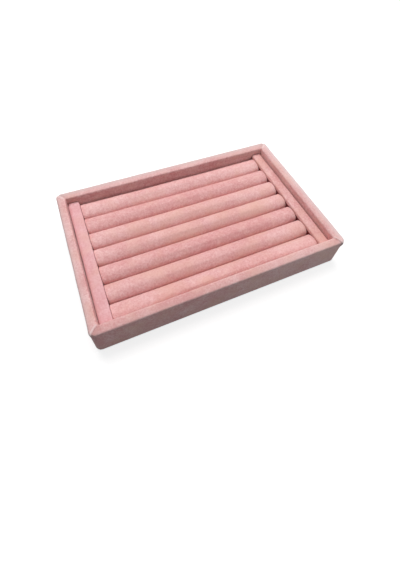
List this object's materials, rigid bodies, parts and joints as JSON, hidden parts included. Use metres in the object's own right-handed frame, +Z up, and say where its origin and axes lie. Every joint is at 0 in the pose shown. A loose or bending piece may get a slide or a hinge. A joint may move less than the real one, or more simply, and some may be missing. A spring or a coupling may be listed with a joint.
{
  "type": "ring roll tray",
  "caption": "Rectangular velvet tray with wrapped board walls and a lift-out insert of parallel padded ring rolls between two end rails.",
  "frame": {"origin": "centre of the underside felt, on the surface the tray rests on", "axes": "+X along the tray and its rolls, +Y from the front wall to the back wall, +Z up"},
  "size_m": [0.228, 0.146, 0.0315],
  "materials": {
    "pink_velvet": "short pile velvet, matte with a pale sheen at grazing angles",
    "pink_felt": "thin matte felt",
    "fibreboard": "raw medium density fibreboard",
    "grey_card": "matte",
    "white_foam": "soft open cell foam"
  },
  "bodies": {
    "tray": {"base_board": "fibreboard", "floor_velvet": "pink_velvet", "underside_felt": "pink_felt", "front_wall_velvet": "pink_velvet", "right_wall_velvet": "pink_velvet", "back_wall_velvet": "pink_velvet", "left_wall_velvet": "pink_velvet", "front_wall_board": "fibreboard", "right_wall_board": "fibreboard", "back_wall_board": "fibreboard", "left_wall_board": "fibreboard"},
    "ring_insert": {"insert_card": "grey_card", "left_rail_velvet": "pink_velvet", "left_rail_core": "fibreboard", "right_rail_velvet": "pink_velvet", "right_rail_core": "fibreboard", "roll_velvet_1": "pink_velvet", "roll_foam_1": "white_foam", "roll_velvet_2": "pink_velvet", "roll_foam_2": "white_foam", "roll_velvet_3": "pink_velvet", "roll_foam_3": "white_foam", "roll_velvet_4": "pink_velvet", "roll_foam_4": "white_foam", "roll_velvet_5": "pink_velvet", "roll_foam_5": "white_foam", "roll_velvet_6": "pink_velvet", "roll_foam_6": "white_foam", "roll_velvet_7": "pink_velvet", "roll_foam_7": "white_foam"}
  },
  "joints": [
    {"name": "insert_lift", "type": "slide", "parent": "tray", "child": "ring_insert", "axis": [0, 0, 1], "range_m": [0, 0.035]}
  ]
}
